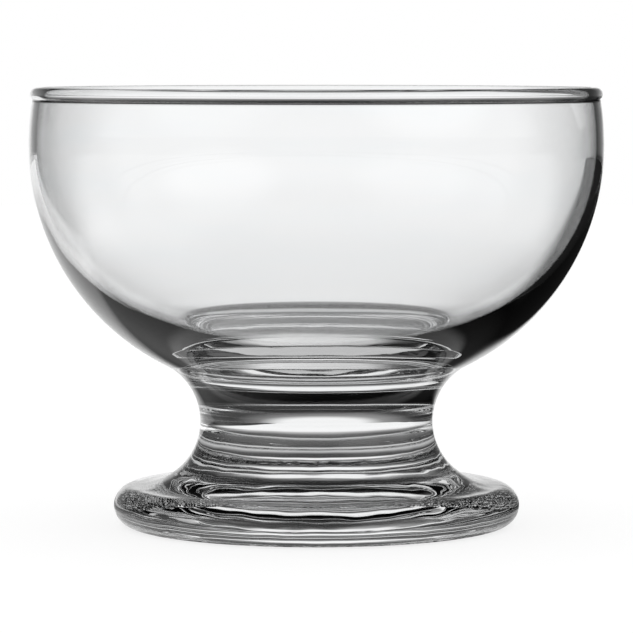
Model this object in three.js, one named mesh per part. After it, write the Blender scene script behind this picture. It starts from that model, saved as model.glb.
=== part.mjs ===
// Footed dessert bowl in clear glass: a wide thin-walled bowl and a thick round foot, joined by a short solid stem.
// The three pieces are turned shapes that meet at flat fused seams, stacked from the table up.
// Millimetres, +Z up, origin at the centre of the ring that the foot stands on.
import * as THREE from "three";

// Bowl
const BOWL_DIAMETER = 108; // outside, at the widest ring
const BOWL_CURVE = 46; // radius of the outside curve, from the stem up to the widest ring
const RIM_RISE = 9.8; // from the widest ring up to the middle of the round lip
const RIM_TAPER = 0.9; // how far the wall leans in over that rise
const WALL = 1.4; // glass at and above the widest ring
const LIP_OVERHANG = 0.6; // how far the round lip stands out from each face of the wall
const FLOOR_DIAMETER = 51; // where the inside wall meets the floor
const FLOOR_DISH = 1.6; // how far the floor's middle lies below its edge
const FLOOR_THICKNESS = 2.3; // glass from the seam under the bowl up to the floor's middle

// Stem
const WAIST_DIAMETER = 44; // narrowest ring
const COVE_RADIUS = 12.1; // hollow curve from the bowl in to the waist and out to the foot

// Foot
const FOOT_DIAMETER = 76.6;
const FOOT_THICKNESS = 7.5; // full height of the half-round edge
const RING_WIDTH = 4; // flat ring that the bowl stands on
const HOLLOW_DEPTH = 3; // rise of the shallow hollow inside that ring

const AROUND = 64; // facets in a full turn

// Centres of the curves, each given as its radius out from the axis and its height.
const edgeRadius = FOOT_THICKNESS / 2;
const edge = new THREE.Vector2(FOOT_DIAMETER / 2 - edgeRadius, edgeRadius);
const waist = WAIST_DIAMETER / 2;

// The cove rests on the foot's flat top, or rolls down onto its edge where the foot is narrow.
const coveOut = waist + COVE_RADIUS;
const coveOverhang = Math.max(0, coveOut - edge.x);
const coveRise = Math.sqrt((COVE_RADIUS + edgeRadius) ** 2 - coveOverhang ** 2);
const cove = new THREE.Vector2(coveOut, edge.y + coveRise);
const coveFoot = Math.atan2(coveRise, coveOverhang);

// The bowl's curve touches the cove; that touching ring is the seam between bowl and stem.
const bowlRadius = BOWL_DIAMETER / 2;
const curveOut = bowlRadius - BOWL_CURVE;
const curveRise = Math.sqrt((BOWL_CURVE + COVE_RADIUS) ** 2 - (cove.x - curveOut) ** 2);
const curve = new THREE.Vector2(curveOut, cove.y + curveRise);
const coveTop = Math.atan2(curve.y - cove.y, curve.x - cove.x);
const seam = onArc(cove, COVE_RADIUS, coveTop);

// Above the widest ring the wall leans in on one wide curve, to a round lip on the middle of the wall.
const rimCurve = (RIM_RISE ** 2 + RIM_TAPER ** 2) / (2 * RIM_TAPER);
const rim = new THREE.Vector2(bowlRadius - rimCurve, curve.y);
const rimLean = Math.asin(RIM_RISE / rimCurve);
const lip = onArc(rim, rimCurve - WALL / 2, rimLean);
const lipRadius = WALL / 2 + LIP_OVERHANG;
const lipOutside = lipMeets(rimCurve);
const lipInside = lipMeets(rimCurve - WALL);

// Inside, one curve drops from the widest ring to the edge of the floor, which is a shallow dish.
const floorEdge = new THREE.Vector2(FLOOR_DIAMETER / 2, seam.y + FLOOR_THICKNESS + FLOOR_DISH);
const dishCurve = (floorEdge.x ** 2 + FLOOR_DISH ** 2) / (2 * FLOOR_DISH);
const dish = onAxis(floorEdge.y - FLOOR_DISH + dishCurve);
const dishTurn = Math.asin(floorEdge.x / dishCurve);
const inset = bowlRadius - WALL - floorEdge.x;
const drop = curve.y - floorEdge.y;
const insideCurve = (inset ** 2 + drop ** 2) / (2 * inset);
const inside = new THREE.Vector2(bowlRadius - WALL - insideCurve, curve.y);
const insideTurn = Math.atan2(drop, floorEdge.x - inside.x);

function onArc(centre, radius, angle) {
  return new THREE.Vector2(centre.x + radius * Math.cos(angle), centre.y + radius * Math.sin(angle));
}

// Points of an arc from one angle to another, both ends included.
function arc(centre, radius, from, to, steps) {
  const points = [];
  for (let step = 0; step <= steps; step++) {
    points.push(onArc(centre, radius, from + ((to - from) * step) / steps));
  }
  return points;
}

// Turn about the rim's centre at which a face of the wall, given by its radius, runs into the lip.
function lipMeets(face) {
  const reach = lip.distanceTo(rim);
  return rimLean - Math.acos((reach ** 2 + face ** 2 - lipRadius ** 2) / (2 * reach * face));
}

function onAxis(height) {
  return new THREE.Vector2(0, height);
}

function turned(name, outline) {
  const apart = outline.filter((point, i) => i === 0 || point.distanceTo(outline[i - 1]) > 0.001);
  const shape = new THREE.LatheGeometry(apart, AROUND);
  shape.rotateX(Math.PI / 2);
  const glass = new THREE.MeshStandardMaterial({ color: 0xdfe7e4, roughness: 0.05, metalness: 0 });
  glass.name = "clear_glass";
  const piece = new THREE.Mesh(shape, glass);
  piece.name = name;
  return piece;
}

function bowl() {
  const lipStart = onArc(rim, rimCurve, lipOutside).sub(lip).angle() - 2 * Math.PI;
  const lipEnd = onArc(rim, rimCurve - WALL, lipInside).sub(lip).angle();
  return turned("bowl", [
    onAxis(seam.y),
    ...arc(curve, BOWL_CURVE, coveTop - Math.PI, 0, 16),
    ...arc(rim, rimCurve, 0, lipOutside, 3),
    ...arc(lip, lipRadius, lipStart, lipEnd, 12),
    ...arc(rim, rimCurve - WALL, lipInside, 0, 3),
    ...arc(inside, insideCurve, 0, -insideTurn, 16),
    ...arc(dish, dishCurve, dishTurn - Math.PI / 2, -Math.PI / 2, 4),
  ]);
}

function stem() {
  return turned("stem", [
    onAxis(cove.y),
    ...arc(cove, COVE_RADIUS, Math.PI, coveTop, 7),
    onAxis(seam.y),
  ]);
}

function foot() {
  const hollowOut = edge.x - RING_WIDTH;
  const hollowCurve = (hollowOut ** 2 + HOLLOW_DEPTH ** 2) / (2 * HOLLOW_DEPTH);
  const hollowTurn = Math.asin(hollowOut / hollowCurve);
  const under = onAxis(HOLLOW_DEPTH - hollowCurve);
  return turned("foot", [
    ...arc(under, hollowCurve, Math.PI / 2, Math.PI / 2 - hollowTurn, 6),
    ...arc(edge, edgeRadius, -Math.PI / 2, coveFoot, 12),
    ...arc(cove, COVE_RADIUS, coveFoot - Math.PI, -Math.PI, 9),
    onAxis(cove.y),
  ]);
}

const dessertBowl = new THREE.Group();
dessertBowl.name = "dessert_bowl";
dessertBowl.add(bowl(), stem(), foot());

export default dessertBowl;
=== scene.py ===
"""Footed dessert bowl in clear glass: three pieces spun from their half outlines, in a white studio."""

from math import acos, asin, atan2, cos, hypot, pi, radians, sin, sqrt, tau
from random import Random
from typing import NamedTuple

import bmesh
import bpy
from bpy.props import FloatProperty, FloatVectorProperty, IntProperty, PointerProperty
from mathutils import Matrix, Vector


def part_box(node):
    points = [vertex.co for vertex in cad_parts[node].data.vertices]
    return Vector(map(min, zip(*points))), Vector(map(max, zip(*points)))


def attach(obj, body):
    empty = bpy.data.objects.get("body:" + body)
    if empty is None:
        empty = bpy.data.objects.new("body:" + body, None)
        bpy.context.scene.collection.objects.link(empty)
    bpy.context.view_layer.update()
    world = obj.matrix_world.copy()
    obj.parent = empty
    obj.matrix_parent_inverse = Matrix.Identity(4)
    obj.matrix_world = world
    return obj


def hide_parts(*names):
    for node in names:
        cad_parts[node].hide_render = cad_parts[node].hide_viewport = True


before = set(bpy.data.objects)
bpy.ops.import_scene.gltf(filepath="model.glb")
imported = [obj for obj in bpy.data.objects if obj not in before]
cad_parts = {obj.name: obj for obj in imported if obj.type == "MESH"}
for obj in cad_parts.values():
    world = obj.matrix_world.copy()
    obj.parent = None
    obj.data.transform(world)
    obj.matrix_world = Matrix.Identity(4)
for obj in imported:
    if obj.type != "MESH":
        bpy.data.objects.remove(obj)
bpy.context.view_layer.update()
bowl_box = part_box("bowl")
stem_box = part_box("stem")
foot_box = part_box("foot")

bl_info = {
    "name": "Footed dessert bowl",
    "version": (1, 0, 0),
    "blender": (4, 5, 0),
    "location": "View3D > Sidebar > Glassware",
    "description": "Builds a clear glass dessert bowl on a stem and foot, and a white studio",
    "category": "Object",
}

AROUND = 256  # steps in a full turn
SAME_POINT = 1e-7  # metres within which two points are one
SEAM = 1  # material index of the fused seams

PIT_TOP = 0.0009  # height up to which the underside of the foot has pits
PIT_FACING = -0.9  # and how squarely a face there has to look down
PIT_DEPTHS = 5  # how many different depths the pits have
PIT_SEED = 5

GLASS_IOR = 1.5
STREAK_STRETCH = (1, 1, 6)
STREAK_NOISE = {"Scale": 30, "Detail": 4}
WAVE_NOISE = {"Scale": 60, "Detail": 1}
LUMP_NOISE = {"Scale": 130, "Detail": 1}
STREAK_EDGE = (0.45, 0.7)
DULL_EDGE = (0.3, 0.9)
DULLEST = 0.02  # roughness where the surface is dullest
LUMPS_END = (0.010, 0.022)  # heights over which the lumps of the foot die away
GRAIN_END = (0.034, 0.048)  # heights over which the grain above it dies away

PHOTO_WIDTH = 633  # pixels
FOCAL_LENGTH = 3745  # in the photo's pixels
SENSOR_WIDTH = 36
CAMERA_PLACE = (0, -0.705, 0.0885)
CAMERA_DIP = 0.0697  # radians below level
NEAREST_SEEN = 0.01

FLOOR_LEVEL = 1.05  # tone of the unshaded floor to the camera
FLOOR_DROP = 0.0001  # keeps the floor clear of the standing ring
FLOOR_STEPS = 96

# Painted light and painted shadow on the floor, which only the glass shows: pools of light behind, to
# the left, and to the front and sides, a painted light ring and middle under the foot, and painted
# shadow round the foot. A pair is where a smooth change starts and ends, in metres.
FAN_SHIFT = 0.03  # the fan behind the bowl lies a little to the left
FAN_SLANT = 0.15
FAN_SPREAD = 0.35
FAN_EDGE = (0.062, 0.08)
FAN_BACK = (0.03, 0.06)
FAN_AWAY = (0.055, 0.11)
FAN_PAINTED_LIGHT = 0.95
LEFT_ACROSS = 0.1
LEFT_EDGE = (0.06, 0.14)
LEFT_PAINTED_LIGHT = 0.35
NEAR_EDGE = (0.05, 0.08)
PAINTED_SHADOW_TONE = 0.05
RING_INSIDE = (0.034, 0.037)
RING_OUTSIDE = (0.045, 0.052)
PAINTED_CAUSTIC_TONE = 0.5
MIDDLE_EDGE = (0.012, 0.02)
MIDDLE_PAINTED_LIGHT = 0.5
OUTER_AWAY = (0.08, 0.15)
OUTER_TURN = (1.1, 1.5)  # radians round from behind the bowl
OUTER_PAINTED_LIGHT = 0.75

# Tones of the tent, by radians up from the floor and round from behind the bowl.
TENT_RADIUS = 1.5
TENT_STEPS = 24
BAND_TOP = (0.35, 0.6)
BAND_TURN = (1.2, 1.6)
BAND_TONE = 0.02
BAND_ASIDE_TONE = 0.55


def length(name, description, default):
    return FloatProperty(name=name, description=description, default=default, min=0, unit="LENGTH")


def count(name, description, default):
    return IntProperty(name=name, description=description, default=default, min=1)


def share(name, description, default):
    return FloatProperty(
        name=name, description=description, default=default, min=0, max=1, subtype="FACTOR"
    )


def colour(name, description, default):
    return FloatVectorProperty(
        name=name, description=description, default=default, min=0, max=1, subtype="COLOR"
    )


class BowlSizes(bpy.types.PropertyGroup):
    """Sizes of the wide thin-walled bowl"""

    across: length("Across", "Outside diameter at the widest ring", bowl_box[1].x - bowl_box[0].x)
    outside_curve: length("Outside curve", "Radius of the outside below the widest ring", 0.046)
    rim_rise: length("Rim rise", "From the widest ring up to the middle of the round lip", 0.0098)
    rim_lean: length("Rim lean", "How far the wall leans in over the rim's rise", 0.0009)
    wall: length("Wall", "Thickness of the glass at and above the widest ring", 0.0014)
    lip: length("Lip", "How far the round lip stands out from each face of the wall", 0.0006)
    inside_curve: length("Inside curve", "Radius of the inside below the widest ring", 0.0391)
    corner: length("Corner", "Radius of the turn from the inside wall to the floor", 0.0045)
    floor_curve: length("Floor curve", "Radius of the shallow dish that the floor is", 0.204)
    floor_height: length("Floor height", "Height of the floor's middle above the table", 0.0327)


class StemSizes(bpy.types.PropertyGroup):
    """Sizes of the short solid stem"""

    waist: length("Waist", "Diameter at the narrowest ring", 0.044)
    cove: length("Cove", "Radius of the hollow curve from the bowl to the foot", 0.0121)


class FootSizes(bpy.types.PropertyGroup):
    """Sizes of the thick round foot"""

    across: length("Across", "Outside diameter", foot_box[1].x - foot_box[0].x)
    thickness: length("Thickness", "Height of the half-round edge", 0.0075)
    ring_width: length("Ring width", "Width of the flat ring that the bowl stands on", 0.004)
    hollow: length("Hollow", "Rise of the shallow hollow inside the ring", 0.003)
    pit_rows: count("Pit rows", "Rows of small pits across the standing ring", 6)
    pit_depth: length("Pit depth", "Depth of the deepest pit", 0.00018)


class GlassLook(bpy.types.PropertyGroup):
    """Colour and finish of the glass"""

    tint: colour("Tint", "Colour of the clear glass", (0.994, 0.998, 1.0))
    streak: colour("Streak", "Colour of the faint streaks in it", (0.985, 0.995, 1.0))
    waves: length("Waves", "Height of the slow waves in the surface", 0.00003)
    lumps: length("Lumps", "Height of the small lumps in the surface of the foot", 0.00015)
    grain: length("Grain", "Height of the small lumps up to the bottom of the bowl", 0.00003)


class StudioLook(bpy.types.PropertyGroup):
    """Tones of the studio round the glass"""

    white: colour("White", "Floor and background", (1, 1, 1))
    shadow: share("Shadow", "Share of the floor's tone that a shadow can take away", 0.25)
    # On the floor this tone is painted shade; on the tent it is the dark between its lights.
    dim: share("Dim", "Tone that the glass shows outside the areas of light", 0.015)


class Wire:
    """One output of a shader node. Arithmetic on it adds Math nodes."""

    def __init__(self, recipe, socket):
        self.recipe = recipe
        self.socket = socket

    def __add__(self, other):
        return self.recipe.math("ADD", self, other)

    __radd__ = __add__

    def __sub__(self, other):
        return self.recipe.math("SUBTRACT", self, other)

    def __rsub__(self, other):
        return self.recipe.math("SUBTRACT", other, self)

    def __mul__(self, other):
        return self.recipe.math("MULTIPLY", self, other)

    __rmul__ = __mul__

    def __truediv__(self, other):
        return self.recipe.math("DIVIDE", self, other)

    def __abs__(self):
        return self.recipe.math("ABSOLUTE", self)

    def above(self, low, high):
        """0 up to low, 1 from high, with a smooth rise between."""
        return self.recipe.add(
            "ShaderNodeMapRange",
            {"interpolation_type": "SMOOTHSTEP"},
            {"Value": self, "From Min": low, "From Max": high},
        )


class Recipe:
    """The shader nodes of one material or of the world."""

    def __init__(self, owner):
        owner.use_nodes = True
        self.tree = owner.node_tree
        self.tree.nodes.clear()

    def add(self, kind, settings=None, sockets=None, output=0):
        """Adds a node, sets it, fills or links its sockets, and gives back one of its outputs."""
        node = self.tree.nodes.new(kind)
        for name, value in (settings or {}).items():
            setattr(node, name, value)
        for name, value in (sockets or {}).items():
            if isinstance(value, Wire):
                self.tree.links.new(value.socket, node.inputs[name])
            else:
                node.inputs[name].default_value = value
        return Wire(self, node.outputs[output]) if node.outputs else None

    def math(self, operation, *terms):
        return self.add("ShaderNodeMath", {"operation": operation}, dict(enumerate(terms)))

    def noise(self, place, settings):
        return self.add("ShaderNodeTexNoise", sockets={"Vector": place, **settings})

    def point(self):
        return self.add("ShaderNodeTexCoord", output="Object")

    def place(self):
        """Where a point lies in its own object: across, back and up."""
        point = self.point()
        return [self.add("ShaderNodeSeparateXYZ", sockets={0: point}, output=axis) for axis in "XYZ"]


class Patch(NamedTuple):
    """An oval of light on the tent, in degrees round from behind the bowl and up from the floor."""

    turn: float
    rise: float
    wide: float
    tall: float
    soft: float
    tone: float

    def light(self, recipe, turn, rise):
        wide = (turn - radians(self.turn)) / radians(self.wide)
        tall = (rise - radians(self.rise)) / radians(self.tall)
        reach = recipe.math("SQRT", wide * wide + tall * tall)
        return self.tone * (1 - reach.above(1 - self.soft, 1 + self.soft))


PATCHES = (
    Patch(turn=-2, rise=2, wide=17, tall=9, soft=0.35, tone=0.65),
    Patch(turn=-6, rise=3, wide=27, tall=15, soft=0.5, tone=0.28),
    Patch(turn=-134, rise=22, wide=26, tall=15, soft=0.4, tone=0.4),
    Patch(turn=134, rise=22, wide=26, tall=15, soft=0.4, tone=0.7),
)


def opaque(tone):
    return (*tone, 1)


def clear_glass(look):
    """Clear pressed glass: faint streaks, slow waves, and lumps that fade out upwards."""
    glass = bpy.data.materials.new("polished_glass")
    recipe = Recipe(glass)
    place = recipe.point()
    flattened = recipe.add("ShaderNodeMapping", sockets={"Vector": place, "Scale": STREAK_STRETCH})
    streaks = recipe.noise(flattened, STREAK_NOISE)
    waves = recipe.noise(place, WAVE_NOISE)
    lumps = recipe.noise(place, LUMP_NOISE)
    height = recipe.add("ShaderNodeSeparateXYZ", sockets={0: place}, output="Z")
    low = 1 - height.above(*LUMPS_END)
    inner = 1 - height.above(*GRAIN_END)
    tint = recipe.add(
        "ShaderNodeMix",
        {"data_type": "RGBA"},
        {0: streaks.above(*STREAK_EDGE), 6: opaque(look.tint), 7: opaque(look.streak)},
        output=2,
    )
    uneven = look.waves * waves + (look.lumps * low + look.grain * inner) * lumps
    ripple = recipe.add("ShaderNodeBump", sockets={"Height": uneven, "Strength": 1, "Distance": 1})
    surface = recipe.add(
        "ShaderNodeBsdfPrincipled",
        sockets={
            "Base Color": tint,
            "Roughness": streaks.above(*DULL_EDGE) * DULLEST,
            "Normal": ripple,
            "IOR": GLASS_IOR,
            "Transmission Weight": 1,
        },
    )
    recipe.add("ShaderNodeOutputMaterial", sockets={"Surface": surface})
    return glass


def fused_seam():
    """Where two pieces of glass are fused there is no surface left to see."""
    seam = bpy.data.materials.new("fused_seam")
    recipe = Recipe(seam)
    gone = recipe.add("ShaderNodeBsdfTransparent")
    recipe.add("ShaderNodeOutputMaterial", sockets={"Surface": gone})
    return seam


def on_arc(centre, radius, angle):
    return (centre[0] + radius * cos(angle), centre[1] + radius * sin(angle))


def bearing(point, centre):
    """Angle of a point as seen from a centre."""
    return atan2(point[1] - centre[1], point[0] - centre[0])


class Outline:
    """Half of a turned piece's outline, drawn point by point in the XZ plane, then spun about Z."""

    def __init__(self, out, up):
        self.mesh = bmesh.new()
        self.pen = self.mesh.verts.new((out, 0, up))

    def line(self, out, up, steps=1):
        start = self.pen.co.copy()
        end = Vector((out, 0, up))
        for step in range(1, steps + 1):
            self.pen = bmesh.ops.extrude_vert_indiv(self.mesh, verts=[self.pen])["verts"][0]
            self.pen.co = start.lerp(end, step / steps)

    def arc(self, centre, turn, steps):
        """Swings the pen about a centre, anticlockwise for a positive turn."""
        swung = bmesh.ops.spin(
            self.mesh,
            geom=[self.pen],
            cent=(centre[0], 0, centre[1]),
            axis=(0, -1, 0),
            angle=turn,
            steps=steps,
        )
        self.pen = swung["geom_last"][0]

    def spun(self, seams=()):
        """The closed piece, with its fused seams at the given heights marked and kept sharp."""
        mesh = self.mesh
        self.pen.co.x = 0
        bmesh.ops.spin(
            mesh,
            geom=mesh.verts[:] + mesh.edges[:],
            cent=(0, 0, 0),
            axis=(0, 0, 1),
            angle=tau,
            steps=AROUND,
            use_merge=True,
        )
        bmesh.ops.remove_doubles(mesh, verts=mesh.verts, dist=SAME_POINT)
        bmesh.ops.recalc_face_normals(mesh, faces=mesh.faces)
        for face in mesh.faces:
            face.smooth = True
            if any(self.lies_at(face, height) for height in seams):
                face.material_index = SEAM
                face.smooth = False
        for edge in mesh.edges:
            edge.smooth = len({face.material_index for face in edge.link_faces}) == 1
        return mesh

    def lies_at(self, face, height):
        return all(abs(corner.co.z - height) < SAME_POINT for corner in face.verts)


def finished(mesh, name, node, look):
    """Puts a mesh in the scene as the piece that stands for a solid."""
    data = bpy.data.meshes.new(name)
    mesh.to_mesh(data)
    mesh.free()
    glass = bpy.data.materials.get("polished_glass") or clear_glass(look)
    seam = bpy.data.materials.get("fused_seam") or fused_seam()
    data.materials.append(glass)
    data.materials.append(seam)
    piece = bpy.data.objects.new(name, data)
    bpy.context.scene.collection.objects.link(piece)
    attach(piece, "root")
    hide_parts(node)
    return piece


class Curves:
    """Centres and seams of the curves, in metres out from the axis and up from the table."""

    def __init__(self, scene):
        bowl, stem, foot = scene.bowl_sizes, scene.stem_sizes, scene.foot_sizes
        self.edge_radius = foot.thickness / 2
        self.edge = (foot.across / 2 - self.edge_radius, self.edge_radius)
        self.cove = (stem.waist / 2 + stem.cove, stem_box[0].z)
        self.bowl = (bowl.across / 2 - bowl.outside_curve, self.bowl_height(bowl, stem))
        self.lean = bearing(self.bowl, self.cove)
        self.seam = on_arc(self.cove, stem.cove, self.lean)
        self.land = bearing(self.edge, self.cove)
        self.rim_curve = (bowl.rim_rise**2 + bowl.rim_lean**2) / (2 * bowl.rim_lean)
        self.rim = (bowl.across / 2 - self.rim_curve, self.bowl[1])
        self.rim_turn = asin(bowl.rim_rise / self.rim_curve)

    def bowl_height(self, bowl, stem):
        """The bowl's curve rests on the cove, so the two centres are both radii apart."""
        sideways = self.cove[0] - (bowl.across / 2 - bowl.outside_curve)
        return self.cove[1] + sqrt((bowl.outside_curve + stem.cove) ** 2 - sideways**2)


class MESH_OT_dessert_bowl_cup(bpy.types.Operator):
    """Spin the wide thin-walled bowl with its fire-polished lip"""

    bl_idname = "mesh.dessert_bowl_cup"
    bl_label = "Bowl"

    def execute(self, context):
        scene = context.scene
        sizes = scene.bowl_sizes
        curves = Curves(scene)
        inside = (sizes.across / 2 - sizes.wall - sizes.inside_curve, curves.bowl[1])
        dish = (0, sizes.floor_height + sizes.floor_curve)
        corner = self.corner(sizes, inside, dish)
        wall_end = bearing(corner, inside)
        dish_end = bearing(corner, dish)

        outline = Outline(0, curves.seam[1])
        outline.line(*curves.seam)
        outline.arc(curves.bowl, pi - curves.lean, steps=90)
        self.lip(outline, curves, sizes)
        outline.arc(inside, wall_end, steps=70)
        outline.arc(corner, dish_end - wall_end, steps=40)
        outline.arc(dish, -pi / 2 - dish_end, steps=40)
        finished(outline.spun([curves.seam[1]]), "glass_bowl", "bowl", scene.glass_look)
        return {"FINISHED"}

    def lip(self, outline, curves, sizes):
        """Up the outside of the rim, round the lip on the middle of the wall, and down the inside."""
        reach = curves.rim_curve - sizes.wall / 2
        radius = sizes.wall / 2 + sizes.lip
        lip = on_arc(curves.rim, reach, curves.rim_turn)
        inner_curve = curves.rim_curve - sizes.wall
        outside, inside = (
            curves.rim_turn - acos((reach**2 + face**2 - radius**2) / (2 * reach * face))
            for face in (curves.rim_curve, inner_curve)
        )
        start = bearing(on_arc(curves.rim, curves.rim_curve, outside), lip)
        end = bearing(on_arc(curves.rim, inner_curve, inside), lip)
        outline.arc(curves.rim, outside, steps=20)
        outline.arc(lip, end - start + tau, steps=72)
        outline.arc(curves.rim, -inside, steps=20)

    def corner(self, sizes, inside, dish):
        """Centre of the corner's circle, which touches the inside wall and the dished floor."""
        near = sizes.inside_curve - sizes.corner
        far = sizes.floor_curve - sizes.corner
        apart = hypot(dish[0] - inside[0], dish[1] - inside[1])
        out = (dish[0] - inside[0]) / apart
        up = (dish[1] - inside[1]) / apart
        along = (near**2 - far**2 + apart**2) / (2 * apart)
        across = sqrt(near**2 - along**2)
        return (inside[0] + along * out + across * up, inside[1] + along * up - across * out)


class MESH_OT_dessert_bowl_stem(bpy.types.Operator):
    """Spin the short solid stem between the bowl and the waist"""

    bl_idname = "mesh.dessert_bowl_stem"
    bl_label = "Stem"

    def execute(self, context):
        scene = context.scene
        curves = Curves(scene)
        seams = [curves.cove[1], curves.seam[1]]
        outline = Outline(0, curves.cove[1])
        outline.line(scene.stem_sizes.waist / 2, curves.cove[1])
        outline.arc(curves.cove, curves.lean - pi, steps=60)
        outline.line(0, curves.seam[1])
        finished(outline.spun(seams), "glass_stem", "stem", scene.glass_look)
        return {"FINISHED"}


class MESH_OT_dessert_bowl_foot(bpy.types.Operator):
    """Spin the thick round foot and press small pits into the ring that it stands on"""

    bl_idname = "mesh.dessert_bowl_foot"
    bl_label = "Foot"

    def execute(self, context):
        scene = context.scene
        sizes = scene.foot_sizes
        curves = Curves(scene)
        hollow_out = curves.edge[0] - sizes.ring_width
        hollow_curve = (hollow_out**2 + sizes.hollow**2) / (2 * sizes.hollow)
        under = (0, sizes.hollow - hollow_curve)
        outline = Outline(0, sizes.hollow)
        outline.arc(under, -asin(hollow_out / hollow_curve), steps=30)
        outline.line(curves.edge[0], 0, sizes.pit_rows)
        outline.arc(curves.edge, curves.land + pi + pi / 2, steps=60)
        outline.arc(curves.cove, -pi - curves.land, steps=90)
        outline.line(0, curves.cove[1])
        mesh = outline.spun([curves.cove[1]])
        self.press(mesh, sizes.pit_depth)
        finished(mesh, "glass_foot", "foot", scene.glass_look)
        return {"FINISHED"}

    def press(self, mesh, depth):
        """Each small face low on the underside is pressed in by its own share of the depth."""
        dice = Random(PIT_SEED)
        groups = [[] for step in range(PIT_DEPTHS)]
        for face in sorted(self.underside(mesh), key=self.spot):
            dice.choice(groups).append(face)
        for step, faces in enumerate(groups):
            pits = bmesh.ops.poke(mesh, faces=faces, offset=-depth * (step + 1) / PIT_DEPTHS)
            for face in pits["faces"]:
                face.smooth = False

    def underside(self, mesh):
        for face in mesh.faces:
            top = max(corner.co.z for corner in face.verts)
            if top < PIT_TOP and face.normal.z < PIT_FACING:
                yield face

    def spot(self, face):
        """The step round and the distance out of a face: an order that is the same in each run."""
        centre = face.calc_center_median()
        return (round(2 * AROUND * atan2(centre.y, centre.x) / tau), centre.xy.length)


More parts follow.
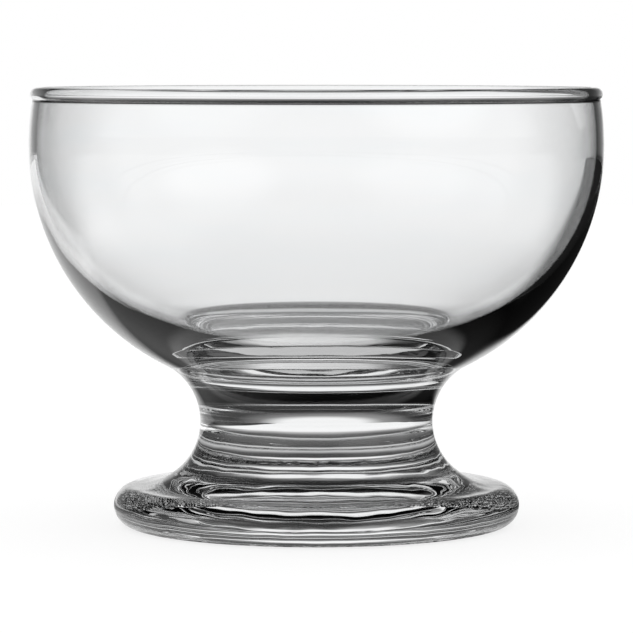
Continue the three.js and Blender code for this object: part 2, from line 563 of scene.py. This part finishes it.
class SCENE_OT_dessert_bowl_studio(bpy.types.Operator):
    """Set up the white floor, the tent of soft light that the glass shows, and the camera"""

    bl_idname = "scene.dessert_bowl_studio"
    bl_label = "Studio"

    def execute(self, context):
        scene = context.scene
        look = scene.studio_look
        self.background(scene, look)
        self.floor(scene, look)
        self.tent(scene, look)
        self.camera(scene)
        scene.view_settings.view_transform = "Standard"
        scene.cycles.max_bounces = 12
        scene.cycles.transmission_bounces = 12
        scene.cycles.glossy_bounces = 4
        scene.cycles.transparent_max_bounces = 64
        return {"FINISHED"}

    def background(self, scene, look):
        world = bpy.data.worlds.new("studio")
        scene.world = world
        recipe = Recipe(world)
        sky = {"Color": opaque(look.white), "Strength": 1}
        white = recipe.add("ShaderNodeBackground", sockets=sky)
        recipe.add("ShaderNodeOutputWorld", sockets={"Surface": white})

    def floor(self, scene, look):
        """White to the camera, with the bowl's shadow; the glass shows painted light and painted shadow
        on it.
        """
        mesh = bmesh.new()
        bmesh.ops.create_circle(mesh, cap_ends=True, segments=FLOOR_STEPS, radius=TENT_RADIUS)
        paint = bpy.data.materials.new("white_floor_with_painted_light")
        recipe = Recipe(paint)
        shaded = {"Color": opaque([look.shadow * tone for tone in look.white])}
        steady = {"Color": opaque(look.white), "Strength": FLOOR_LEVEL - look.shadow}
        matt = recipe.add("ShaderNodeBsdfDiffuse", sockets=shaded)
        shine = recipe.add("ShaderNodeEmission", sockets=steady)
        bright = recipe.add("ShaderNodeAddShader", sockets={0: matt, 1: shine})
        # The glass sees painted light and painted shadow on the floor, glowing at their own strength.
        tone = self.painted_floor_light(recipe, look)
        painted_light_seen = recipe.add("ShaderNodeEmission", sockets={"Color": tone, "Strength": 1})
        camera = recipe.add("ShaderNodeLightPath", output="Is Camera Ray")
        seen = recipe.add("ShaderNodeMixShader", sockets={0: camera, 1: painted_light_seen, 2: bright})
        recipe.add("ShaderNodeOutputMaterial", sockets={"Surface": seen})
        self.stand(scene, mesh, "floor", paint).location.z = -FLOOR_DROP

    def painted_floor_light(self, recipe, look):
        """A painted fan of light behind the bowl, painted light to the front and sides, and a painted
        light ring and middle under the foot; the dim floor left round the foot is painted shadow.
        """
        across, back, _ = recipe.place()
        away = recipe.math("SQRT", across * across + back * back)
        turn = abs(recipe.math("ARCTAN2", across, back))
        beside = abs(across + FAN_SHIFT + FAN_SLANT * back)
        fan = 1 - (beside - FAN_SPREAD * back).above(*FAN_EDGE)
        fan = fan * back.above(*FAN_BACK) * away.above(*FAN_AWAY)
        left = 1 - (abs(across + LEFT_ACROSS) + abs(back)).above(*LEFT_EDGE)
        near = 1 - away.above(*NEAR_EDGE)
        ring = away.above(*RING_INSIDE) * (1 - away.above(*RING_OUTSIDE))
        middle = 1 - away.above(*MIDDLE_EDGE)
        outer = away.above(*OUTER_AWAY) * turn.above(*OUTER_TURN)
        behind = recipe.math("MAXIMUM", FAN_PAINTED_LIGHT * fan, LEFT_PAINTED_LIGHT * left)
        under = PAINTED_CAUSTIC_TONE * ring + MIDDLE_PAINTED_LIGHT * middle
        return look.dim + PAINTED_SHADOW_TONE * near + behind + under + OUTER_PAINTED_LIGHT * outer

    def stand(self, scene, mesh, name, paint):
        data = bpy.data.meshes.new(name)
        mesh.to_mesh(data)
        mesh.free()
        data.materials.append(paint)
        item = bpy.data.objects.new(name, data)
        scene.collection.objects.link(item)
        return item

    def tent(self, scene, look):
        """A dome that only the glass shows, light low down at the front and sides, with soft ovals."""
        outline = Outline(TENT_RADIUS, 0)
        outline.arc((0, 0), pi / 2, steps=TENT_STEPS)
        paint = bpy.data.materials.new("tent")
        recipe = Recipe(paint)
        across, back, up = recipe.place()
        turn = recipe.math("ARCTAN2", across, back)
        rise = recipe.math("ARCSINE", up / TENT_RADIUS)
        low = 1 - rise.above(*BAND_TOP)
        aside = abs(turn).above(*BAND_TURN)
        tone = look.dim + low * (BAND_TONE + BAND_ASIDE_TONE * aside)
        for patch in PATCHES:
            tone = tone + patch.light(recipe, turn, rise)
        glow = recipe.add("ShaderNodeEmission", sockets={"Color": tone, "Strength": 1})
        recipe.add("ShaderNodeOutputMaterial", sockets={"Surface": glow})
        dome = self.stand(scene, outline.spun(), "tent", paint)
        dome.visible_camera = False
        dome.visible_diffuse = False

    def camera(self, scene):
        lens = bpy.data.cameras.new("camera")
        lens.sensor_width = SENSOR_WIDTH
        lens.lens = SENSOR_WIDTH * FOCAL_LENGTH / PHOTO_WIDTH
        lens.clip_start = NEAREST_SEEN
        camera = bpy.data.objects.new("camera", lens)
        camera.location = CAMERA_PLACE
        camera.rotation_euler = (pi / 2 - CAMERA_DIP, 0, 0)
        scene.collection.objects.link(camera)
        scene.camera = camera


class VIEW3D_PT_dessert_bowl(bpy.types.Panel):
    """Sizes and makers of the dessert bowl"""

    bl_label = "Dessert bowl"
    bl_space_type = "VIEW_3D"
    bl_region_type = "UI"
    bl_category = "Glassware"

    def draw(self, context):
        for setting in SETTINGS:
            group = getattr(context.scene, setting)
            box = self.layout.box()
            for name in group.__annotations__:
                box.prop(group, name)
        for maker in MAKERS:
            self.layout.operator(maker.bl_idname)


SETTINGS = {
    "bowl_sizes": BowlSizes,
    "stem_sizes": StemSizes,
    "foot_sizes": FootSizes,
    "glass_look": GlassLook,
    "studio_look": StudioLook,
}
MAKERS = (
    MESH_OT_dessert_bowl_cup,
    MESH_OT_dessert_bowl_stem,
    MESH_OT_dessert_bowl_foot,
    SCENE_OT_dessert_bowl_studio,
)
CLASSES = (*SETTINGS.values(), *MAKERS, VIEW3D_PT_dessert_bowl)


def register():
    for group in CLASSES:
        bpy.utils.register_class(group)
    for name, group in SETTINGS.items():
        setattr(bpy.types.Scene, name, PointerProperty(type=group))


def unregister():
    for name in SETTINGS:
        delattr(bpy.types.Scene, name)
    for group in reversed(CLASSES):
        bpy.utils.unregister_class(group)


def main():
    register()
    bpy.ops.mesh.dessert_bowl_cup()
    bpy.ops.mesh.dessert_bowl_stem()
    bpy.ops.mesh.dessert_bowl_foot()
    bpy.ops.scene.dessert_bowl_studio()


if __name__ == "__main__":
    main()
